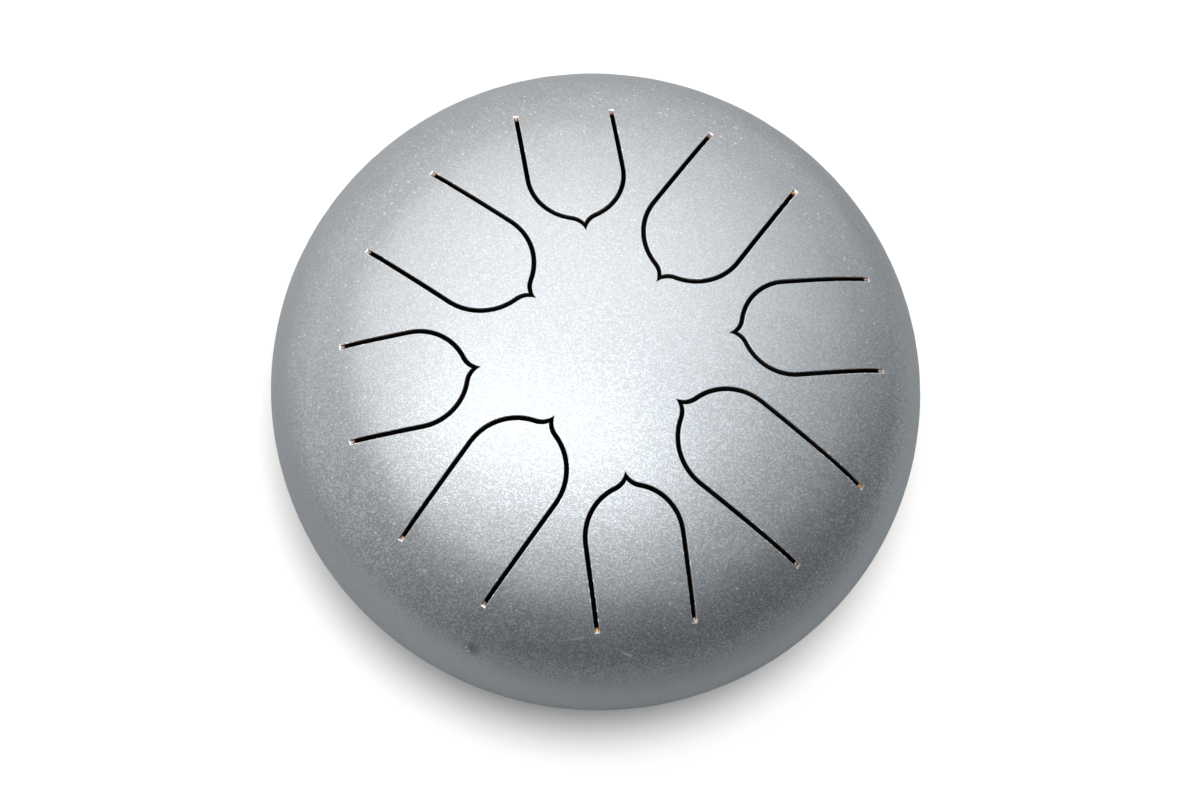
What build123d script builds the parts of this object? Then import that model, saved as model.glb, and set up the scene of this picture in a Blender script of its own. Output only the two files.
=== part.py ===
from build123d import *
import os
from math import acos, asin, atan, atan2, cos, radians, sin, sqrt, tan

# A small steel tongue drum: two pressed domes welded rim to rim, eight tongues cut in the upper one,
# a sound hole in the lower one and four screwed-on rubber feet. Millimetres, +Z up, soles at z = 0.

# Pressed domes
drum_diameter = 254.0
crown_radius = 295.0
knuckle_radius = 46.7
shell_thickness = 1.6
weld_height = 1.2

# Tongue slots
slot_width = 1.6
first_tongue_angle = 22.5
short_shoulder_depth = 55.3
short_half_span_angle = 14.4
short_shoulder_overhang = 1.0
short_sweep_angle = 73.1
long_shoulder_depth = 68.4
long_half_span_angle = 15.4
long_shoulder_overhang = 1.4
long_sweep_angle = 73.3
tongue_point_angle = 33.0
opening_point_angle = 15.0

# Slot ends left by the cutting disc
cutter_radius = 15.0
cutter_overshoot = 1.9

# Bending line at the root of each tongue
root_radius = 2.4
root_clearance = 0.05

# The tongues counter-clockwise round the drum, numbered from the lowest note up: style, and how far short
# of the rim the slot stops on the clockwise and on the counter-clockwise side
tongues = {
    "tongue_5": ("short", 21.1, 20.1),
    "tongue_3": ("long", 27.9, 29.0),
    "tongue_7": ("short", 29.0, 26.4),
    "tongue_4": ("long", 31.0, 30.0),
    "tongue_8": ("short", 29.2, 27.9),
    "tongue_2": ("long", 25.4, 23.9),
    "tongue_6": ("short", 23.9, 22.6),
    "tongue_1": ("long", 21.3, 19.3),
}

# Sound hole
sound_hole_diameter = 70.0
lip_radius = 4.0
lip_length = 3.0

# Rubber feet
foot_circle_radius = 68.0
foot_height = 12.0
foot_seat_diameter = 24.0
foot_tip_diameter = 18.0
foot_web = 4.0
foot_edge_radius = 1.0
seat_clearance = 0.05
first_foot_angle = 55.0
foot_names = ["foot_rear_right", "foot_rear_left", "foot_front_left", "foot_front_right"]

# Foot fasteners
screw_diameter = 4.0
screw_clearance = 0.1
head_diameter = 8.0
head_height = 2.6
head_edge_radius = 1.2
cross_length = 4.4
cross_width = 0.9
cross_depth = 1.6
washer_diameter = 9.0
washer_thickness = 0.8
recess_clearance = 0.2
seal_diameter = 12.0
seal_thickness = 1.6
nut_flats = 7.0
nut_height = 3.4
collar_diameter = 6.6
collar_height = 1.6
insert_diameter = 5.4
insert_height = 1.2
insert_clearance = 0.05
screw_end = 1.0

# How far a cutting tool reaches past the piece that it cuts
cut_through = 1.0

# What follows from the sizes above
drum_radius = drum_diameter / 2
knuckle_centre = drum_radius - knuckle_radius
crown_drop = sqrt((crown_radius - knuckle_radius) ** 2 - knuckle_centre**2)
blend_angle = atan2(crown_drop, knuckle_centre)
half_weld = weld_height / 2
dome_height = crown_radius - crown_drop
tongue_step = 360 / len(tongues)
foot_step = 360 / len(foot_names)


def dome_height_at(r, depth=0.0):
    """Height over the seam of the dome's outer face, or of the face that lies depth inside it."""
    if r <= (crown_radius - depth) * cos(blend_angle):
        return sqrt((crown_radius - depth) ** 2 - r**2) - crown_drop
    return sqrt((knuckle_radius - depth) ** 2 - (r - knuckle_centre) ** 2)


def dome_slope_at(r, depth=0.0):
    """Slope of the dome against the level, in radians, at the distance r from the axis."""
    if r <= (crown_radius - depth) * cos(blend_angle):
        return asin(r / (crown_radius - depth))
    return asin((r - knuckle_centre) / (knuckle_radius - depth))


def arc(x, y, radius, start, end):
    """The arc about x, y that runs from one angle to another, both in radians."""
    points = [(x + radius * cos(a), y + radius * sin(a)) for a in (start, (start + end) / 2, end)]
    return ThreePointArc(*points)


seam_height = dome_height_at(foot_circle_radius) + foot_height
lift = Pos(0, 0, seam_height)


def spin(lines):
    """The ring swept about the drum's axis by a closed outline of distance and height."""
    return revolve(Plane.XZ * make_face(lines), axis=Axis.Z)


# Domes, rim down on the seam plane
rim_out = asin(half_weld / knuckle_radius)
rim_in = asin(half_weld / (knuckle_radius - shell_thickness))
crown_in = crown_radius - shell_thickness
knuckle_in = knuckle_radius - shell_thickness
upright = radians(90)
apex_out = (0, dome_height)
apex_in = (0, dome_height - shell_thickness)

knuckle_out_arc = arc(knuckle_centre, 0, knuckle_radius, rim_out, blend_angle)
knuckle_in_arc = arc(knuckle_centre, 0, knuckle_in, blend_angle, rim_in)
rim_line = Line(knuckle_in_arc @ 1, knuckle_out_arc @ 0)

upper_blank = spin(
    [
        rim_line,
        knuckle_out_arc,
        arc(0, -crown_drop, crown_radius, blend_angle, upright),
        Line(apex_out, apex_in),
        arc(0, -crown_drop, crown_in, upright, blend_angle),
        knuckle_in_arc,
    ]
)

# The lower dome turns inward at the sound hole in a rounded lip
hole_radius = sound_hole_diameter / 2
lip_centre = hole_radius + lip_radius
lip_level = sqrt((crown_radius - lip_radius) ** 2 - lip_centre**2) - crown_drop
lip_angle = acos(lip_centre / (crown_radius - lip_radius))
lip_end = lip_level - lip_length
lower_blank = spin(
    [
        rim_line,
        knuckle_out_arc,
        arc(0, -crown_drop, crown_radius, blend_angle, lip_angle),
        arc(lip_centre, lip_level, lip_radius, lip_angle, radians(180)),
        Line((hole_radius, lip_level), (hole_radius, lip_end)),
        Line((hole_radius, lip_end), (hole_radius + shell_thickness, lip_end)),
        Line((hole_radius + shell_thickness, lip_end), (hole_radius + shell_thickness, lip_level)),
        arc(lip_centre, lip_level, lip_radius - shell_thickness, radians(180), lip_angle),
        arc(0, -crown_drop, crown_in, lip_angle, blend_angle),
        knuckle_in_arc,
    ]
)

# Solid filling the drum's outer form, used to shape what is seated against it
envelope = spin(
    [
        arc(knuckle_centre, 0, knuckle_radius + seat_clearance, 0, blend_angle),
        arc(0, -crown_drop, crown_radius + seat_clearance, blend_angle, upright),
        Line((0, dome_height + seat_clearance), (0, 0)),
        Line((0, 0), (drum_radius + seat_clearance, 0)),
    ]
)

seam_weld = spin(
    [
        arc(knuckle_centre, 0, knuckle_radius, -rim_out, rim_out),
        Line(knuckle_out_arc @ 0, knuckle_in_arc @ 1),
        arc(knuckle_centre, 0, knuckle_in, rim_in, -rim_in),
        mirror(rim_line, about=Plane.XZ),
    ]
)

# Tongues and their openings
styles = {
    "short": (short_shoulder_depth, short_half_span_angle, short_shoulder_overhang, short_sweep_angle),
    "long": (long_shoulder_depth, long_half_span_angle, long_shoulder_overhang, long_sweep_angle),
}
half_slot = slot_width / 2
plunge = shell_thickness + cutter_overshoot
cut_out = sqrt(cutter_radius**2 - (cutter_radius - plunge) ** 2)
cut_in = sqrt(cutter_radius**2 - (cutter_radius - cutter_overshoot) ** 2)
run_out = cut_out - cut_in


def shoulder_line(style):
    """Distance from the axis at which the straight sides give way to the rounded shoulders."""
    return drum_radius - styles[style][0]


def half_width_of(style):
    """Half the width of a tongue to the middle of its slots, from the angle that it spans at the short
    tongues' shoulders, where neighbours come closest."""
    return shoulder_line("short") * tan(radians(styles[style][1]))


def outline(style, grow, point_angle, root):
    """Ogee outline that lies grow outside the middle of the slot, from the root line to the point,
    across in x and out from the axis in y."""
    overhang, sweep, tip = styles[style][2], radians(styles[style][3]), radians(point_angle)
    start = shoulder_line(style)
    side = half_width_of(style) + grow
    shoulder = side + overhang
    hollow = (shoulder * cos(sweep) - overhang) / (cos(tip) - cos(sweep))
    across = (shoulder + hollow) * cos(sweep) - overhang
    along = (shoulder + hollow) * sin(sweep)
    mid = (sweep + tip) / 2
    turn = (shoulder * cos(sweep) - overhang, start - shoulder * sin(sweep))
    half = [
        Line((side, root), (side, start)),
        ThreePointArc(
            (side, start),
            (shoulder * cos(sweep / 2) - overhang, start - shoulder * sin(sweep / 2)),
            turn,
        ),
        ThreePointArc(
            turn,
            (across - hollow * cos(mid), start - along + hollow * sin(mid)),
            (0, start - along + hollow * sin(tip)),
        ),
    ]
    other = [mirror(edge, about=Plane.YZ) for edge in half]
    return make_face(half + other + [Line((side, root), (-side, root))])


def tongue_frame(step):
    """Plane through the drum's axis: x across the tongue clockwise, y outward along it."""
    angle = radians(first_tongue_angle + tongue_step * step)
    return Plane(origin=(0, 0, 0), x_dir=(sin(angle), -cos(angle), 0), z_dir=(0, 0, 1))


def root_line(clockwise, counter):
    """Distance from the axis and height of the line about which a tongue bends."""
    out = drum_radius - max(clockwise, counter) - root_radius - run_out
    return out, dome_height_at(out, shell_thickness / 2)


def root_roll(frame, out, height, radius, length):
    """Round bar across a tongue on its bending line."""
    return frame * Pos(0, out, height) * Rot(0, 90, 0) * Cylinder(radius, length)


def slot_end(frame, side, stop):
    """Disc that leaves the sloped end of a slot, side across and stop outward from the axis."""
    r = sqrt(side**2 + stop**2)
    fall = atan(tan(dome_slope_at(r)) * stop / r)
    out = stop - cut_out * cos(fall) + (cutter_radius - plunge) * sin(fall)
    height = dome_height_at(r) + cut_out * sin(fall) + (cutter_radius - plunge) * cos(fall)
    return frame * Pos(side, out, height) * Rot(0, 90, 0) * Cylinder(cutter_radius, slot_width)


nodes = {}
top_shell = upper_blank
for step, (name, (style, clockwise, counter)) in enumerate(tongues.items()):
    frame = tongue_frame(step)
    out, height = root_line(clockwise, counter)
    half_width = half_width_of(style)
    blade = extrude(frame * outline(style, -half_slot, tongue_point_angle, out), dome_height)
    blade += root_roll(frame, out, height, root_radius, 2 * (half_width - half_slot))
    nodes[name] = lift * (upper_blank & blade)
    opening = extrude(frame * outline(style, half_slot, opening_point_angle, out), 2 * dome_height)
    opening += root_roll(frame, out, height, root_radius + root_clearance, 2 * (half_width + half_slot))
    top_shell -= opening
    top_shell -= slot_end(frame, half_width, drum_radius - clockwise)
    top_shell -= slot_end(frame, -half_width, drum_radius - counter)
nodes["top_shell"] = lift * top_shell
nodes["seam_weld"] = lift * seam_weld

# Feet, each square to the lower dome, with its sole cut level
foot_slope = dome_slope_at(foot_circle_radius)
foot_drop = -dome_height_at(foot_circle_radius)
screw_hole = screw_diameter / 2 + screw_clearance
recess_radius = washer_diameter / 2 + recess_clearance
foot_length = foot_height + foot_seat_diameter
head_seat = foot_web + washer_thickness
inner_seat = -shell_thickness - seal_thickness
nut_seat = inner_seat - washer_thickness
nut_top = nut_seat - nut_height - collar_height
lower_envelope = mirror(envelope, about=Plane.XY)
floor = Pos(0, 0, -seam_height - foot_length) * Box(2 * drum_diameter, 2 * drum_diameter, 2 * foot_length)
hollow = mirror(
    spin(
        [
            arc(knuckle_centre, 0, knuckle_in - seat_clearance, 0, blend_angle),
            arc(0, -crown_drop, crown_in - seat_clearance, blend_angle, upright),
            Line((0, apex_in[1] - seat_clearance), (0, 0)),
            Line((0, 0), (drum_radius - shell_thickness - seat_clearance, 0)),
        ]
    ),
    about=Plane.XY,
)


def disc(radius, low, high):
    """Round bar on the foot's axis between two distances out from the dome."""
    return Pos(0, 0, (low + high) / 2) * Cylinder(radius, high - low)


def ring(radius, bore, low, high):
    """Round bar with a hole through it."""
    return disc(radius, low, high) - disc(bore, low - cut_through, high + cut_through)


# Plane on the lower dome's face, with its z axis square to the dome and pointing out and down
foot_angle = radians(first_foot_angle)
foot_spot = (foot_circle_radius * cos(foot_angle), foot_circle_radius * sin(foot_angle), foot_drop)
foot_axis = (sin(foot_slope) * cos(foot_angle), sin(foot_slope) * sin(foot_angle), -cos(foot_slope))
foot_frame = Plane(origin=foot_spot, x_dir=(-sin(foot_angle), cos(foot_angle), 0), z_dir=foot_axis)

# The cone narrows from the seat to the tip over the foot's height and keeps that taper past the sole
taper = (foot_seat_diameter - foot_tip_diameter) / 2 / foot_height
seat_radius = foot_seat_diameter / 2
foot_blank = Pos(0, 0, foot_height / 2) * Cone(
    seat_radius + taper * foot_height / 2,
    seat_radius - taper * foot_height * 1.5,
    2 * foot_height,
)
recess = disc(recess_radius, foot_web, foot_length)
passage = disc(screw_hole, -foot_length, foot_length)

head = disc(head_diameter / 2, head_seat, head_seat + head_height)
head = fillet(head.edges().group_by(Axis.Z)[-1], head_edge_radius)
cross_level = head_seat + head_height - cross_depth / 2
head -= Pos(0, 0, cross_level) * Box(cross_length, cross_width, cross_depth)
head -= Pos(0, 0, cross_level) * Box(cross_width, cross_length, cross_depth)
screw = head + disc(screw_diameter / 2, nut_top - screw_end, head_seat)

screw_washer = ring(washer_diameter / 2, screw_hole, foot_web, head_seat)
nut_washer = ring(washer_diameter / 2, screw_hole, nut_seat, inner_seat)
seal = ring(seal_diameter / 2, screw_hole, inner_seat, 0)
nut_prism = Pos(0, 0, nut_seat - nut_height) * extrude(
    RegularPolygon(nut_flats / 2, 6, major_radius=False), nut_height
)
collar = disc(collar_diameter / 2, nut_top, nut_seat - nut_height)
insert_seat = nut_top + insert_height + insert_clearance
nut = nut_prism + collar - disc(screw_hole, nut_top - cut_through, nut_seat + cut_through)
nut -= disc(insert_diameter / 2 + insert_clearance, nut_top - cut_through, insert_seat)
insert = ring(insert_diameter / 2, screw_hole, nut_top, nut_top + insert_height)

bottom_shell = mirror(lower_blank, about=Plane.XY)
foot = foot_frame * foot_blank - lower_envelope - floor
sole = foot.faces().sort_by(Axis.Z)[0]
foot = fillet(sole.outer_wire().edges(), foot_edge_radius)
foot -= foot_frame * recess
passage = foot_frame * passage
foot -= passage
fasteners = {
    "foot_screws": foot_frame * screw,
    "foot_screw_washers": foot_frame * screw_washer,
    "foot_seals": foot_frame * seal & hollow,
    "foot_nut_washers": foot_frame * nut_washer,
    "foot_lock_nuts": foot_frame * nut,
    "lock_nut_inserts": foot_frame * insert,
}
turns = [Rot(0, 0, foot_step * count) for count in range(len(foot_names))]
for name, turn in zip(foot_names, turns):
    nodes[name] = lift * turn * foot
    bottom_shell -= turn * passage
nodes["bottom_shell"] = lift * bottom_shell
for name, piece in fasteners.items():
    copies = [lift * turn * piece for turn in turns]
    nodes[name] = Compound(children=[solid for copy in copies for solid in copy.solids()])

os.makedirs("parts", exist_ok=True)
for name, shape in nodes.items():
    export_step(shape, f"parts/{name}.step")
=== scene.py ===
from math import asin, atan2, cos, pi, radians, sin

import bmesh
import bpy
from mathutils import Matrix, Vector


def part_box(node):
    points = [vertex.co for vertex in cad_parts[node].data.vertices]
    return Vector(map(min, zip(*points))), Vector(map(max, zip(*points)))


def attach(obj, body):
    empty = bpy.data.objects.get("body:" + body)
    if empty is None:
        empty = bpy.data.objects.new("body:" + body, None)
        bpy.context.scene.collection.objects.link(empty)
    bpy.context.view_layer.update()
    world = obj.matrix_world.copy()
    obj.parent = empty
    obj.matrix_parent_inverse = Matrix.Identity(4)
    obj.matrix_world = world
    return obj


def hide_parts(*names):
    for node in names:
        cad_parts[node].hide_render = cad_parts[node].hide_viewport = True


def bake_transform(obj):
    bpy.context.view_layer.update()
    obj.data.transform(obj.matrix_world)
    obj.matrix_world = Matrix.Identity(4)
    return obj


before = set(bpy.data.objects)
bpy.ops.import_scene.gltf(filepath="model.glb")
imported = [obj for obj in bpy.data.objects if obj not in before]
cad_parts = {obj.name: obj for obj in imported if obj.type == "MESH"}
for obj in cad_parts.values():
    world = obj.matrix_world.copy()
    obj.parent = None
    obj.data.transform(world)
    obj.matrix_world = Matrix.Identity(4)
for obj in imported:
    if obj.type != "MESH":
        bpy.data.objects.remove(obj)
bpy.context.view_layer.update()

# Upper dome: a disc of 1.6 mm mild steel pressed to a shallow crown with a round knuckle at the rim. Eight
# ogee slots are cut right through it with a thin disc. It is sprayed after welding, so the coat softens the
# slots' edges, and their ends keep the copper-brown tint of the cut. The inside is left bare, and drawn
# near black as painted shade.
seam_low, seam_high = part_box("seam_weld")
rim_radius = seam_high.x
seam_height = (seam_low.z + seam_high.z) / 2
weld_height = seam_high.z - seam_low.z
drum_middle = Vector((0, 0, seam_height))
crown_radius = 0.295
knuckle_radius = 0.0467
ease_reach = 0.010
sheet_thickness = 0.0016
mesh_step = 0.006
mesh_offset = 0.37
mesh_hair = 1e-6
round_steps = 256

slot_width = 0.0017
edge_round = 0.0003
tint_depth = 0.0008
back_chamfer = 0.0002
slot_run_out = 0.0012
end_flare = 0.0005
root_setback = 0.0047
tongue_point_angle = 33
opening_point_angle = 15
first_tongue_angle = 22.5
tongue_styles = {
    "short": {"shoulder": 0.0717, "half_width": 0.01841, "overhang": 0.0010, "sweep": 73.1},
    "long": {"shoulder": 0.0586, "half_width": 0.01975, "overhang": 0.0014, "sweep": 73.3},
}
# Counter-clockwise round the drum: style, and how far from the rim the slot stops on its two sides
tongues = {
    "tongue_5": ("short", 0.0211, 0.0201),
    "tongue_3": ("long", 0.0279, 0.0290),
    "tongue_7": ("short", 0.0290, 0.0264),
    "tongue_4": ("long", 0.0310, 0.0300),
    "tongue_8": ("short", 0.0292, 0.0279),
    "tongue_2": ("long", 0.0254, 0.0239),
    "tongue_6": ("short", 0.0239, 0.0226),
    "tongue_1": ("long", 0.0213, 0.0193),
}
# Slot ends that ran hot under the disc and turned orange: tongue, and which of its two sides
hot_ends = {("tongue_3", 0), ("tongue_6", 0), ("tongue_1", 1)}
tongue_step = radians(360 / len(tongues))
half_slot = slot_width / 2

knuckle_centre = rim_radius - knuckle_radius
crown_swing = asin(knuckle_centre / (crown_radius - knuckle_radius))
crown_length = crown_radius * crown_swing
crown_centre = seam_height - (crown_radius - knuckle_radius) * cos(crown_swing)
rim_swing = pi / 2 - asin(weld_height / 2 / knuckle_radius)
rim_length = crown_length + knuckle_radius * (rim_swing - crown_swing)
bend_step = 1 / knuckle_radius - 1 / crown_radius


class Nodes:
    """Adds shader nodes to one material or world and joins them up."""

    def __init__(self, owner):
        owner.use_nodes = True
        self.tree = owner.node_tree
        self.tree.nodes.clear()

    def put(self, socket, value):
        if isinstance(value, bpy.types.NodeSocket):
            self.tree.links.new(value, socket)
        else:
            socket.default_value = value

    def add(self, kind, settings=None, **inputs):
        node = self.tree.nodes.new(kind)
        for name, value in (settings or {}).items():
            setattr(node, name, value)
        for name, value in inputs.items():
            self.put(node.inputs[name.replace("_", " ")], value)
        return node

    def fill(self, kind, settings, values):
        node = self.add(kind, settings)
        for socket, value in zip(node.inputs, values):
            self.put(socket, value)
        return node

    def math(self, operation, *values):
        return self.fill("ShaderNodeMath", {"operation": operation}, values).outputs[0]

    def vector(self, operation, *values):
        node = self.fill("ShaderNodeVectorMath", {"operation": operation}, values)
        return node.outputs["Value" if operation in ("DOT_PRODUCT", "LENGTH", "DISTANCE") else "Vector"]

    def scaled(self, vector, factor):
        node = self.add("ShaderNodeVectorMath", {"operation": "SCALE"}, Scale=factor)
        self.put(node.inputs[0], vector)
        return node.outputs["Vector"]

    def between(self, value, low, high, out_low=0.0, out_high=1.0):
        """Smooth change from out_low to out_high as the value goes from low to high."""
        settings = {"interpolation_type": "SMOOTHSTEP"}
        return self.fill("ShaderNodeMapRange", settings, (value, low, high, out_low, out_high)).outputs[0]

    def mix(self, share, first, second):
        node = self.add("ShaderNodeMix", {"data_type": "RGBA"}, Factor=share, A=first, B=second)
        return node.outputs["Result"]

    def place(self):
        return self.add("ShaderNodeTexCoord").outputs["Object"]

    def noise(self, place, size, detail=2.0):
        return self.add("ShaderNodeTexNoise", Vector=place, Scale=1 / size, Detail=detail).outputs["Fac"]

    def bump(self, height, depth):
        return self.add("ShaderNodeBump", Strength=1.0, Distance=depth, Height=height).outputs["Normal"]

    def finish(self, shader):
        self.add("ShaderNodeOutputMaterial", Surface=shader.outputs[0])


def ease(length):
    """The press leaves no sudden change of bend between crown and knuckle: how much further the sheet leans
    at this length from the top, and how far it stands off the plain two-arc form."""
    off = length - crown_length
    sink = bend_step * ease_reach**2 / 6
    share = length / rim_length
    lean = -2 * sink * share / rim_length
    if abs(off) < ease_reach:
        lean += bend_step / (4 * ease_reach) * (ease_reach - abs(off)) ** 2
    side = bend_step / (12 * ease_reach) * max(0, ease_reach - abs(off)) ** 3
    return lean, sink * share**2 - (side if off < 0 else sink - side)


def on_dome(bearing, length, depth=0.0):
    """Point of the upper dome and the way it faces: bearing round the axis, length along the sheet from the
    top, and depth into it."""
    lean, stand = ease(length)
    stand -= depth
    if length <= crown_length:
        swing = length / crown_radius
        out = (crown_radius + stand) * sin(swing)
        height = crown_centre + (crown_radius + stand) * cos(swing)
    else:
        swing = crown_swing + (length - crown_length) / knuckle_radius
        out = knuckle_centre + (knuckle_radius + stand) * sin(swing)
        height = seam_height + (knuckle_radius + stand) * cos(swing)
    across = Vector((cos(bearing), sin(bearing), 0))
    up = Vector((0, 0, 1))
    return across * out + up * height, across * sin(swing + lean) + up * cos(swing + lean)


def sheet_length(out):
    """Length along the sheet, from the top, to where it is this far from the axis."""
    if out <= crown_radius * sin(crown_swing):
        return crown_radius * asin(out / crown_radius)
    return crown_length + knuckle_radius * (asin((out - knuckle_centre) / knuckle_radius) - crown_swing)


# The coat: fine aluminium flake in a grey, faintly blue binder
paint_dark = (0.321, 0.333, 0.344, 1)
paint_light = (0.707, 0.733, 0.757, 1)
# Near white: the flakes' painted glint, the blister's painted highlights, and the steel that nick and
# scratch lay bare
glint_and_bare_steel = (0.93, 0.95, 0.96, 1)
# Inside the drum the bare steel is drawn near black: painted shade.
inside_painted_shade = (0.02, 0.019, 0.018, 1)
coat_metal, inside_metal = 0.92, 0.6
coat_smooth, coat_rough = 0.295, 0.325
grain_size = 0.0011
grain_width = 0.16
grain_relief = 0.000012
flake_spacing = 0.0023
flake_radius = 0.00054
flake_least = 0.05
flake_lean = 0.16
flake_cover = 0.85
cloud_size = 0.014
cloud_share = 0.15
noise_low, noise_high = 0.3, 0.7
face_turn = 0.004
# How the coat changes as it faces further up, from the rim to the flat top: start and end of the change,
# and the share at each. Grain contrast and the flakes' painted glints follow the light: strongest on the
# shaded shoulder, fainter on the lit top and the steep rim, and the grain shows more towards the shaded
# front on the right.
painted_sparkle_off_rim = (0.40, 0.66, 0.2, 1.0)
painted_grain_to_top = (0.80, 0.97, 0.4, 0.3)
relief_to_top = (0.5, 0.95, 0.1, 1.0)
painted_glints_to_top = (0.88, 0.97, 1.0, 0.4)
shaded_side = (0.35, -0.94, 0)
grain_to_shaded_side = (-0.03, 0.06, 1.0, 2.0)
# Marks on the coat near the front rim: a blister with two painted highlights on it, a nick and a faint
# scratch
blister_brown = (0.23, 0.21, 0.17, 1)
blister_reach = 0.0048
blister_grain = 0.0013
blister_strength = 1.6
blister_relief = 1.5
glint_reach = 0.0008
nick_width = 0.0013
scratch_width = 0.0008
scratch_breaks = 0.003
scratch_fade = (0.35, 0.6, 0.4, 0.9)
thin_end = 0.05
blister_spot = (radians(-100.4), 0.1192)
blister_glints = ((radians(-101.5), 0.1195), (radians(-100.9), 0.1203))
nick_ends = ((radians(-73.1), 0.1110), (radians(-71.0), 0.1128))
scratch_ends = ((radians(-86.1), 0.1094), (radians(-80.4), 0.1069))


def spot_on_dome(bearing, out):
    return on_dome(bearing, sheet_length(out))[0]


def near_spot(n, place, spot, reach):
    """One at a spot, fading to nothing at the reach from it."""
    return n.between(n.vector("DISTANCE", place, tuple(spot_on_dome(*spot))), reach, 0.0)


def near_line(n, place, ends, width):
    """One on the line between two spots, fading to nothing at a width that grows from its start."""
    start, end = [spot_on_dome(*spot) for spot in ends]
    run = end - start
    from_start = n.vector("SUBTRACT", place, tuple(start))
    along = n.math("DIVIDE", n.vector("DOT_PRODUCT", from_start, tuple(run)), run.length_squared)
    along = n.math("MINIMUM", n.math("MAXIMUM", along, thin_end), 1.0)
    nearest = n.vector("SUBTRACT", from_start, n.scaled(tuple(run), along))
    return n.between(n.vector("LENGTH", nearest), n.math("MULTIPLY", along, width), 0.0)


def silver_paint():
    material = bpy.data.materials.new("silver_paint")
    n = Nodes(material)
    place = n.place()
    facing = n.add("ShaderNodeNewGeometry").outputs["Normal"]
    clouds = n.noise(place, cloud_size, 3.0)

    # Fine winding grain; its contrast is painted to follow the light, stronger towards the shaded front and
    # faint on the steep rim
    winding = n.math("ABSOLUTE", n.math("SUBTRACT", n.noise(place, grain_size, 1.0), 0.5))
    grain = n.between(winding, 0.0, grain_width)
    upward = n.vector("DOT_PRODUCT", facing, (0, 0, 1))
    painted_sparkle = n.between(upward, *painted_sparkle_off_rim)
    toward_shade = n.between(n.vector("DOT_PRODUCT", place, shaded_side), *grain_to_shaded_side)
    strength = n.math("MULTIPLY", n.math("MULTIPLY", painted_sparkle, toward_shade), n.between(upward, *painted_grain_to_top))
    tone = n.math("MULTIPLY_ADD", n.math("SUBTRACT", grain, 0.5), strength, 0.5)
    tone = n.math("MULTIPLY", tone, 1 - cloud_share)
    tone = n.math("ADD", tone, n.math("MULTIPLY", clouds, cloud_share))

    # Flakes: a dot of its own size in each cell, leaning its own way, drawn brighter than the binder as a
    # painted glint, and fewer on the lit top and the steep rim
    cells = n.add("ShaderNodeTexVoronoi", Vector=place, Scale=1 / flake_spacing)
    chance = n.add("ShaderNodeSeparateColor", Color=cells.outputs["Color"]).outputs["Blue"]
    size = n.between(chance, 0.0, 1.0, flake_least, flake_radius / flake_spacing)
    flake_glints = n.between(n.math("DIVIDE", cells.outputs["Distance"], size), 1.0, 0.5)
    flake_glints = n.math("MULTIPLY", flake_glints, n.math("MULTIPLY", painted_sparkle, n.between(upward, *painted_glints_to_top)))
    lean = n.vector("SUBTRACT", cells.outputs["Color"], (0.5, 0.5, 0.5))

    # The blister is thin and brown, with two painted highlights; nick and scratch lay the coat open
    ragged = n.math("MULTIPLY", n.noise(place, blister_grain), blister_strength)
    blister = n.math("MULTIPLY", near_spot(n, place, blister_spot, blister_reach), ragged)
    glints = [near_spot(n, place, glint_spot, glint_reach) for glint_spot in blister_glints]
    nick = near_line(n, place, nick_ends, nick_width)
    scratch = near_line(n, place, scratch_ends, scratch_width)
    scratch = n.math("MULTIPLY", scratch, n.between(n.noise(place, scratch_breaks), *scratch_fade))
    bare_and_glints = n.math("MAXIMUM", n.math("MAXIMUM", *glints), n.math("MAXIMUM", nick, scratch))

    coat = n.mix(tone, paint_dark, paint_light)
    coat = n.mix(n.math("MULTIPLY", flake_glints, flake_cover), coat, glint_and_bare_steel)
    coat = n.mix(blister, coat, blister_brown)
    coat = n.mix(bare_and_glints, coat, glint_and_bare_steel)
    outward = n.vector("DOT_PRODUCT", facing, n.vector("SUBTRACT", place, tuple(drum_middle)))
    inside = n.between(outward, 0.0, -face_turn)

    relief = n.math("MULTIPLY", grain, n.between(upward, *relief_to_top))
    relief = n.math("ADD", relief, n.math("MULTIPLY", blister, blister_relief))
    leaning = n.scaled(lean, n.math("MULTIPLY", flake_glints, flake_lean))
    normal = n.vector("ADD", n.bump(relief, grain_relief), leaning)
    n.finish(
        n.add(
            "ShaderNodeBsdfPrincipled",
            Base_Color=n.mix(inside, coat, inside_painted_shade),
            Metallic=n.between(inside, 0.0, 1.0, coat_metal, inside_metal),
            Roughness=n.between(clouds, noise_low, noise_high, coat_smooth, coat_rough),
            Normal=n.vector("NORMALIZE", normal),
        )
    )
    return material


# Bare cut steel: the fine score of the disc, and patches that grow denser out where the slots end
score_size = 0.0004
score_depth = 0.00003
score_low, score_high = 0.2, 0.8
rough_spread = 0.08
patch_blur = 0.05
denser_outward = (0.07, 0.1, 0.0, 0.1)


def cut_steel(name, plain, patch, patch_size, share, rough, bright, lift=0.0):
    """Steel laid open by the cutting disc, with patches of another tone, more of them where the slots end.
    Bright is how clean it is, and lift how far the patches turn up to the light, as chips do."""
    material = bpy.data.materials.new(name)
    n = Nodes(material)
    place = n.place()
    out = n.vector("LENGTH", n.vector("MULTIPLY", place, (1, 1, 0)))
    worn = n.math("ADD", n.noise(place, patch_size), n.between(out, *denser_outward))
    patches = n.between(worn, share - patch_blur, share + patch_blur)
    score = n.noise(place, score_size, 3.0)
    turned_up = n.scaled((0, 0, 1), n.math("MULTIPLY", patches, lift))
    n.finish(
        n.add(
            "ShaderNodeBsdfPrincipled",
            Base_Color=n.mix(patches, plain, patch),
            Metallic=bright,
            Roughness=n.between(score, score_low, score_high, rough - rough_spread, rough + rough_spread),
            Normal=n.vector("ADD", n.bump(score, score_depth), turned_up),
        )
    )
    return material


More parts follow.
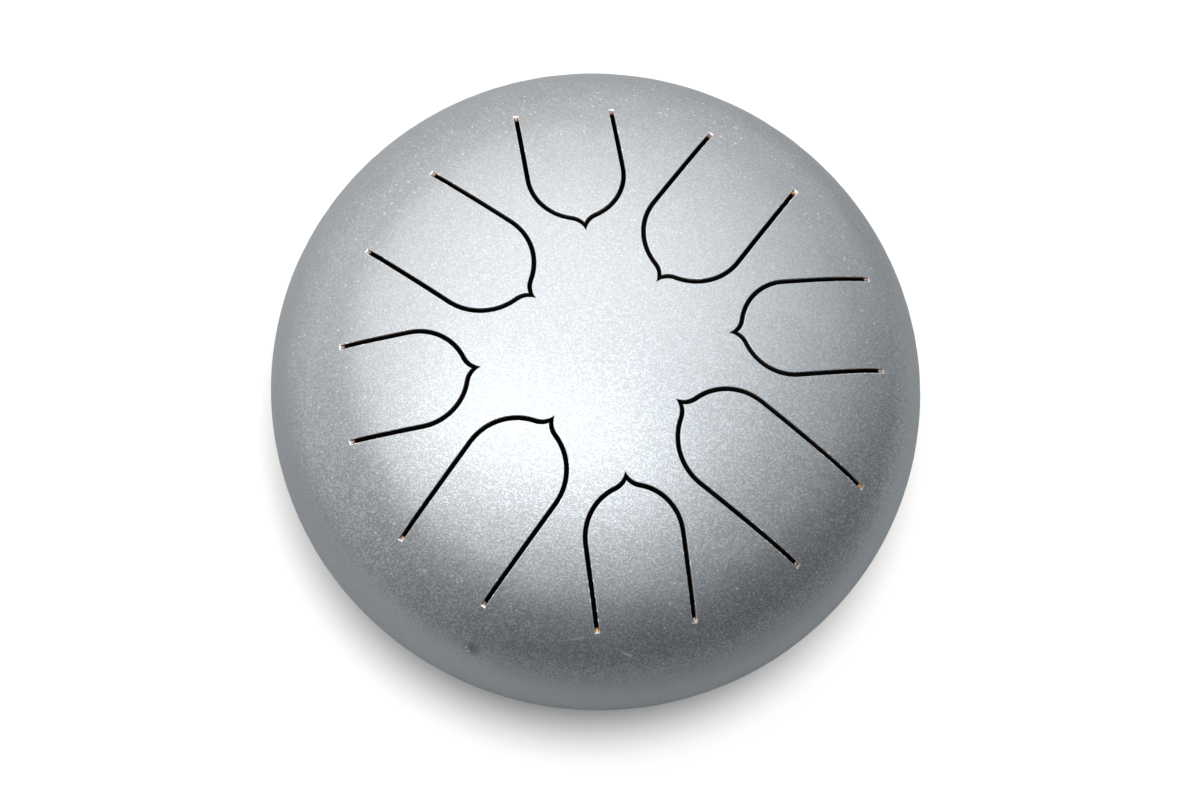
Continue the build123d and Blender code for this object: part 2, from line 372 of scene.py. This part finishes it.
paint = silver_paint()
# Coat over the rounded slot edges, drawn lighter than the coat beside it as a painted highlight, with white
# chips.
chipped_edge_with_painted_highlight = cut_steel(
    "chipped_edge_with_painted_highlight",
    plain=(0.72, 0.74, 0.755, 1),
    patch=(0.95, 0.96, 0.97, 1),
    patch_size=0.0016,
    share=0.68,
    rough=0.30,
    bright=0.92,
    lift=0.8,
)
cut_flank = cut_steel(
    "cut_flank",
    plain=(0.19, 0.185, 0.18, 1),
    patch=(0.48, 0.31, 0.23, 1),
    patch_size=0.008,
    share=0.56,
    rough=0.5,
    bright=0.3,
)
# Bare steel where a slot's disc ran out, drawn near white as a painted highlight.
painted_highlight_end = cut_steel(
    "slot_end_painted_highlight",
    plain=(0.93, 0.93, 0.93, 1),
    patch=(0.75, 0.70, 0.67, 1),
    patch_size=0.0012,
    share=0.58,
    rough=0.32,
    bright=0.95,
)
brown_end = cut_steel(
    "brown_slot_end",
    plain=(0.32, 0.19, 0.14, 1),
    patch=(0.55, 0.40, 0.33, 1),
    patch_size=0.0012,
    share=0.55,
    rough=0.4,
    bright=0.7,
)
hot_end = cut_steel(
    "hot_slot_end",
    plain=(0.70, 0.27, 0.06, 1),
    patch=(0.80, 0.46, 0.22, 1),
    patch_size=0.0012,
    share=0.55,
    rough=0.4,
    bright=0.8,
)


def stretch(start, end, steps):
    """Evenly spaced points from start up to, but without, end."""
    return [tuple(a + (b - a) * count / steps for a, b in zip(start, end)) for count in range(steps)]


def ogee(style, grow, point_angle):
    """Rounded shoulder and hollow on one side of a tongue, down to its point."""
    shape = tongue_styles[style]
    overhang, start = shape["overhang"], shape["shoulder"]
    sweep, tip = radians(shape["sweep"]), radians(point_angle)
    shoulder = shape["half_width"] + grow + overhang
    hollow = (shoulder * cos(sweep) - overhang) / (cos(tip) - cos(sweep))
    across = (shoulder + hollow) * cos(sweep) - overhang
    along = (shoulder + hollow) * sin(sweep)
    shoulder_steps, hollow_steps = 18, 10
    points = []
    for count in range(shoulder_steps):
        turn = sweep * count / shoulder_steps
        points.append((shoulder * cos(turn) - overhang, start - shoulder * sin(turn)))
    for count in range(hollow_steps + 1):
        turn = sweep + (tip - sweep) * count / hollow_steps
        points.append((across - hollow * cos(turn), start - along + hollow * sin(turn)))
    return points


flank_steps, back_steps, root_steps = 4, 10, 8


def root_of(stops):
    """Distance from the axis of the line at which a tongue starts to bend."""
    return rim_radius - max(stops) - root_setback


def opening_side(style, grow, stop, root):
    """One side of the hole in the dome: out along the tongue's flank, round the slot's end and back in to
    the point."""
    inner = tongue_styles[style]["half_width"] - half_slot - grow
    outer = inner + slot_width + 2 * grow
    start = tongue_styles[style]["shoulder"]
    flank = stretch((inner, root), (inner, stop), flank_steps)
    back = stretch((outer, stop), (outer, start), back_steps)
    return flank + [(inner, stop)] + back + ogee(style, half_slot + grow, opening_point_angle)


def tongue_side(style, grow, root):
    """One side of a tongue, from its root line to its point."""
    side = tongue_styles[style]["half_width"] - half_slot - grow
    start = tongue_styles[style]["shoulder"]
    flank = stretch((side, root), (side, start), back_steps)
    return flank + ogee(style, -half_slot - grow, tongue_point_angle)


def both_sides(right, left):
    """Closed outline of a right-hand side and a mirrored left-hand one, joined along the root line."""
    across = stretch((-left[0][0], left[0][1]), right[0], root_steps)[1:]
    return right + [(-x, y) for x, y in reversed(left[:-1])] + across


def draw(bm, step, outline, depth):
    """Ring of edges on the flat sheet for an outline in the plan of one tongue."""
    angle = radians(first_tongue_angle) + tongue_step * step
    ring = []
    for across, out in outline:
        plan = Vector((across * sin(angle) + out * cos(angle), out * sin(angle) - across * cos(angle), 0))
        flat = plan.normalized() * sheet_length(plan.length)
        ring.append(bm.verts.new((flat.x, flat.y, -depth)))
    return [bm.edges.new(pair) for pair in zip(ring, ring[1:] + ring[:1])]


def edge_profile():
    """How far a cut edge stands back, and at what depth, from the painted face to the back of the sheet."""
    turns = [radians(angle) for angle in (0, 30, 60, 90)]
    rounded = [(edge_round * (1 - sin(turn)), edge_round * (1 - cos(turn))) for turn in turns]
    flank = [(0, tint_depth), (0, sheet_thickness - back_chamfer), (back_chamfer, sheet_thickness)]
    return rounded + flank


rounded_levels = 3
sheet_finishes = [paint, chipped_edge_with_painted_highlight, cut_flank, painted_highlight_end, brown_end, hot_end]


def join_rings(bm, rings, slot_ends=()):
    """Walls between rings that lie one below the other: chipped coat over the rounded edge, drawn lighter
    than the coat as a painted highlight, then bare flank. A slot's end is bare steel where the disc ran
    out, drawn near white as a painted highlight, and burnt just below."""
    for level, (upper, lower) in enumerate(zip(rings, rings[1:])):
        for face in bmesh.ops.bridge_loops(bm, edges=upper + lower)["faces"]:
            finish = chipped_edge_with_painted_highlight if level < rounded_levels else cut_flank
            for verts, burn in slot_ends:
                if all(vert in verts for vert in face.verts) and level <= rounded_levels:
                    finish = painted_highlight_end if level < rounded_levels else burn
            face.material_index = sheet_finishes.index(finish)


def skin(bm, edges):
    """Face of the sheet between rings at one level."""
    bmesh.ops.triangle_fill(bm, use_beauty=True, edges=edges, normal=(0, 0, 1))


def cross_cut(bm):
    """Cuts the flat sheet into small squares, so that it can take the dome's curve."""
    reach = int(rim_length / mesh_step) + 1
    for axis in (Vector((1, 0, 0)), Vector((0, 1, 0))):
        for count in range(-reach, reach):
            everything = bm.verts[:] + bm.edges[:] + bm.faces[:]
            middle = axis * mesh_step * (count + mesh_offset)
            bmesh.ops.bisect_plane(bm, geom=everything, dist=mesh_hair, plane_co=middle, plane_no=axis)


def make_piece(name, bm, materials):
    mesh = bpy.data.meshes.new(name)
    bm.to_mesh(mesh)
    bm.free()
    for material in materials:
        mesh.materials.append(material)
    mesh.shade_smooth()
    piece = bpy.data.objects.new(name, mesh)
    bpy.context.scene.collection.objects.link(piece)
    return piece


def press(name, bm):
    """Turns a flat sheet into a pressed one that shades as the true dome does."""
    bmesh.ops.recalc_face_normals(bm, faces=bm.faces)
    normals = []
    for vert in bm.verts:
        flat = vert.co.xy
        depth = -vert.co.z
        vert.co, facing = on_dome(atan2(flat.y, flat.x), flat.length, depth)
        if depth < mesh_hair:
            normals.append(facing)
        elif depth > sheet_thickness - mesh_hair:
            normals.append(-facing)
        else:
            normals.append(Vector())
    piece = make_piece(name, bm, sheet_finishes)
    piece.data.normals_split_custom_set_from_vertices(normals)
    return piece


sheet = bmesh.new()
rims = []
for depth in (0, sheet_thickness):
    level = Matrix.Translation((0, 0, -depth))
    circle = bmesh.ops.create_circle(sheet, segments=round_steps, radius=rim_length, matrix=level)
    rims.append(list(dict.fromkeys(edge for vert in circle["verts"] for edge in vert.link_edges)))
bmesh.ops.bridge_loops(sheet, edges=rims[0] + rims[1])
painted_side, back_side = rims
for step, (name, (style, *stops)) in enumerate(tongues.items()):
    rings = []
    slot_ends = [(set(), hot_end if (name, side) in hot_ends else brown_end) for side in (0, 1)]
    root = root_of(stops)
    for grow, depth in edge_profile():
        flare = end_flare * max(0, 1 - depth / edge_round)
        burnt = min(1, max(0, depth - edge_round) / (tint_depth - edge_round))
        reach = max(grow, flare) - slot_run_out * burnt
        sides = [opening_side(style, grow, rim_radius - stop + reach, root) for stop in stops]
        ring = draw(sheet, step, both_sides(*sides), depth)
        end_edges = (ring[flank_steps], ring[-root_steps - flank_steps - 1])
        for (verts, burn), edge in zip(slot_ends, end_edges):
            verts.update(edge.verts)
        rings.append(ring)
    join_rings(sheet, rings, slot_ends)
    painted_side = painted_side + rings[0]
    back_side = back_side + rings[-1]
skin(sheet, painted_side)
skin(sheet, back_side)
cross_cut(sheet)
upper_dome = press("upper_dome", sheet)
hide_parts("top_shell")
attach(upper_dome, "drum_body")

# Tongues: the flaps that the slots leave standing, still one with the sheet at the root. Each bends there
# when it is struck, holding still at its root line and swinging towards its point; here each is only built
# in its rest shape.
for step, (name, (style, *stops)) in enumerate(tongues.items()):
    blade = bmesh.new()
    root = root_of(stops)
    rings = []
    for grow, depth in edge_profile():
        side = tongue_side(style, grow, root)
        rings.append(draw(blade, step, both_sides(side, side), depth))
    join_rings(blade, rings)
    skin(blade, rings[0])
    skin(blade, rings[-1])
    cross_cut(blade)
    tongue = press(name + "_blade", blade)
    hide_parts(name)
    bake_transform(tongue)

# Seam: the rims of the two domes are welded together all the way round. The bead is dressed down by hand
# until only its shallow toes show as fine lines, and painted over with the rest.
weld_toe = 0.0002
dressed_off = 0.00001
bead_rises = (1.0, 0.75, 0.4, 0.0, -0.4, -0.75, -1.0)
bead_crown = rim_radius - dressed_off
bead_back = rim_radius - sheet_thickness
bead = bmesh.new()
section = [bead.verts.new((bead_back, 0, height)) for height in (-weld_height / 2, weld_height / 2)]
for rise in bead_rises:
    section.append(bead.verts.new((bead_crown - weld_toe * rise**2, 0, rise * weld_height / 2)))
outline = [bead.edges.new(pair) for pair in zip(section, section[1:] + section[:1])]
bmesh.ops.translate(bead, verts=bead.verts, vec=drum_middle)
bmesh.ops.spin(
    bead,
    geom=section + outline,
    axis=(0, 0, 1),
    angle=2 * pi,
    steps=round_steps,
    use_merge=True,
    use_duplicate=False,
)
bmesh.ops.remove_doubles(bead, verts=bead.verts, dist=mesh_hair)
bmesh.ops.recalc_face_normals(bead, faces=bead.faces)
weld_bead = make_piece("weld_bead", bead, [paint])
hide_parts("seam_weld")
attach(weld_bead, "drum_body")

# Lower dome: a second pressing, the mirror image of the upper one but without slots. The sound hole is
# punched in its middle and the lip turned in, so that no sharp edge meets the fingers.


def dress(nodes, material):
    """Gives a finish to pieces that keep their own shape."""
    for name in nodes:
        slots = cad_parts[name].data.materials
        slots.clear()
        slots.append(material)


dress(["bottom_shell"], paint)

# Feet and seals: moulded black rubber, with the grain of its mould and a little grey bloom. The feet are
# cones screwed square to the lower dome, with their soles cut level.
rubber_black = (0.012, 0.012, 0.013, 1)
rubber_bloom = (0.04, 0.04, 0.041, 1)
mould_grain = 0.0007
mould_depth = 0.00006
bloom_size = 0.006
rubber_smooth, rubber_rough = 0.55, 0.72
rubber = bpy.data.materials.new("black_rubber")
n = Nodes(rubber)
place = n.place()
speckle = n.noise(place, mould_grain, 3.0)
bloom = n.noise(place, bloom_size, 2.0)
n.finish(
    n.add(
        "ShaderNodeBsdfPrincipled",
        Base_Color=n.mix(bloom, rubber_black, rubber_bloom),
        Roughness=n.between(speckle, noise_low, noise_high, rubber_smooth, rubber_rough),
        Normal=n.bump(speckle, mould_depth),
    )
)
dress(["foot_rear_right", "foot_rear_left", "foot_front_left", "foot_front_right", "foot_seals"], rubber)

# Foot fasteners: steel pan-head screws, washers and lock nuts, plated with bright zinc. A screw goes up
# through each foot and the lower dome, and its nut is tightened through the sound hole.
zinc_blue = (0.52, 0.53, 0.55, 1)
zinc_yellow = (0.68, 0.68, 0.65, 1)
plating_size = 0.003
plating_grain = 0.0003
plating_relief = 0.00001
zinc_smooth, zinc_rough = 0.24, 0.4
zinc = bpy.data.materials.new("zinc_steel")
n = Nodes(zinc)
place = n.place()
plating = n.noise(place, plating_size, 3.0)
n.finish(
    n.add(
        "ShaderNodeBsdfPrincipled",
        Base_Color=n.mix(plating, zinc_blue, zinc_yellow),
        Metallic=1.0,
        Roughness=n.between(plating, noise_low, noise_high, zinc_smooth, zinc_rough),
        Normal=n.bump(n.noise(place, plating_grain), plating_relief),
    )
)
dress(["foot_screws", "foot_screw_washers", "foot_nut_washers", "foot_lock_nuts"], zinc)

# Rings in the lock nuts: white nylon, moulded and rolled into the top of each nut. They grip the screw, so
# that the drum's hum can't shake it loose.
nylon_shade = (0.60, 0.61, 0.60, 1)
nylon_white = (0.72, 0.72, 0.70, 1)
nylon_cloud = 0.002
nylon_smooth, nylon_rough = 0.4, 0.5
nylon = bpy.data.materials.new("white_nylon")
n = Nodes(nylon)
cloud = n.noise(n.place(), nylon_cloud)
n.finish(
    n.add(
        "ShaderNodeBsdfPrincipled",
        Base_Color=n.mix(cloud, nylon_shade, nylon_white),
        Roughness=n.between(cloud, noise_low, noise_high, nylon_smooth, nylon_rough),
    )
)
dress(["lock_nut_inserts"], nylon)

# Floor: plain white paper that glows white to the camera. Close round the drum the glow fades out and the
# paper
# turns near black under it: a painted shadow. Dull paper in front on the right is painted shade, and a glow
# seen only in the coat's reflections behind on the left is a painted reflection.
bright_side = (-0.645, 0.759, 0.087)
dark_side = (0.60, -0.80, 0)
floor_radius = 12
floor_sides = 64
paper_light = (0.487, 0.50, 0.508, 1)
painted_shade_paper = (0.30, 0.3135, 0.331, 1)
painted_shadow_under_drum = (0.03, 0.03, 0.03, 1)
paper_glow = (1, 0.975, 0.945, 1)
glow_past_painted_shadow = (0.1075, 0.1415, 0.0, 0.75)
painted_reflection_to_bright_side = (0.0, 0.4, 0.0, 0.4)
painted_shade_to_dark_side = (0.12, 0.355)
painted_shadow_reach = (0.115, 0.075)
floor = bmesh.new()
bmesh.ops.create_circle(floor, cap_ends=True, segments=floor_sides, radius=floor_radius)
floor_white = bpy.data.materials.new("floor_white")
floor_white.cycles.emission_sampling = "NONE"
n = Nodes(floor_white)
spot = n.place()
path = n.add("ShaderNodeLightPath").outputs
plainly = n.math("MAXIMUM", path["Is Camera Ray"], path["Is Transmission Ray"])
# Painted reflection: the paper glows in the coat's reflections only behind on the left.
painted_reflection_side = n.between(n.vector("DOT_PRODUCT", spot, bright_side), *painted_reflection_to_bright_side)
painted_reflection = n.math("MULTIPLY", path["Is Glossy Ray"], painted_reflection_side)
# Painted shadow: the glow fades out close round the drum.
outside_painted_shadow = n.between(n.vector("LENGTH", spot), *glow_past_painted_shadow)
glow = n.math("MULTIPLY", n.math("MAXIMUM", plainly, painted_reflection), outside_painted_shadow)
# Painted shade: the paper is drawn duller towards the front on the right.
painted_shade_share = n.between(n.vector("DOT_PRODUCT", spot, dark_side), *painted_shade_to_dark_side)
paper = n.mix(painted_shade_share, paper_light, painted_shade_paper)
# Painted shadow: the paper is drawn near black under the drum.
paper = n.mix(n.between(n.vector("LENGTH", spot), *painted_shadow_reach), paper, painted_shadow_under_drum)
paper = n.add("ShaderNodeBsdfDiffuse", Color=paper)
shine = n.add("ShaderNodeEmission", Color=paper_glow, Strength=glow)
n.finish(n.fill("ShaderNodeAddShader", {}, (paper.outputs[0], shine.outputs[0])))
make_piece("floor", floor, [floor_white])

# Light: a white room, brighter behind on the left, with a pale panel overhead and a large softbox hung
# above the drum.
room_dark, room_rise = 0.17, 0.72
room_spread = (-0.909, 1.0)
dark_air = (0.907, 0.961, 1, 1)
bright_air = (1, 1, 1, 1)
panel_direction = (-0.107, 0.277, 0.955)
panel_spread = (0.716, 1.0, 0.0, 1.13)
world = bpy.data.worlds.new("studio")
bpy.context.scene.world = world
n = Nodes(world)
direction = n.add("ShaderNodeTexCoord").outputs["Generated"]
path = n.add("ShaderNodeLightPath").outputs
plainly = n.math("MAXIMUM", path["Is Camera Ray"], path["Is Transmission Ray"])
open_side = n.between(n.vector("DOT_PRODUCT", direction, bright_side), *room_spread)
panel = n.between(n.vector("DOT_PRODUCT", direction, panel_direction), *panel_spread)
room = n.math("MULTIPLY_ADD", open_side, room_rise, room_dark)
level = n.math("MAXIMUM", n.math("ADD", room, panel), plainly)
air = n.mix(n.math("MAXIMUM", open_side, plainly), dark_air, bright_air)
backdrop = n.add("ShaderNodeBackground", Color=air, Strength=level)
n.add("ShaderNodeOutputWorld", Surface=backdrop.outputs[0])

softbox_place = (-0.198, -0.125, 1.5)
softbox_brightness = 1.08
softbox = bpy.data.lights.new("softbox", "AREA")
softbox.shape = "RECTANGLE"
softbox.size = 1.20
softbox.size_y = 0.54
softbox.energy = softbox_brightness * pi * softbox.size * softbox.size_y
hung = bpy.data.objects.new("softbox", softbox)
hung.matrix_world = Matrix.Translation(softbox_place)
bpy.context.scene.collection.objects.link(hung)

# Camera: it stands over the drum and looks steeply down from the front, a little rolled and aimed a few
# millimetres off the drum's middle.
photo_width = 1200
focal_pixels = 3352
camera_distance = 1.312
camera_tilt = radians(14.67)
camera_bearing = radians(0.5)
camera_roll = radians(13.49)
aim_across, aim_up = 0.00126, -0.00509
camera = bpy.data.objects.new("camera", bpy.data.cameras.new("camera"))
bpy.context.scene.collection.objects.link(camera)
camera.data.sensor_width = 36
camera.data.lens = focal_pixels * camera.data.sensor_width / photo_width
turn = (
    Matrix.Rotation(camera_bearing, 4, "Z")
    @ Matrix.Rotation(camera_tilt, 4, "X")
    @ Matrix.Rotation(camera_roll, 4, "Z")
)
back_off = Matrix.Translation((aim_across, aim_up, camera_distance))
camera.matrix_world = Matrix.Translation(drum_middle) @ turn @ back_off
bpy.context.scene.camera = camera
bpy.context.scene.view_settings.view_transform = "Standard"
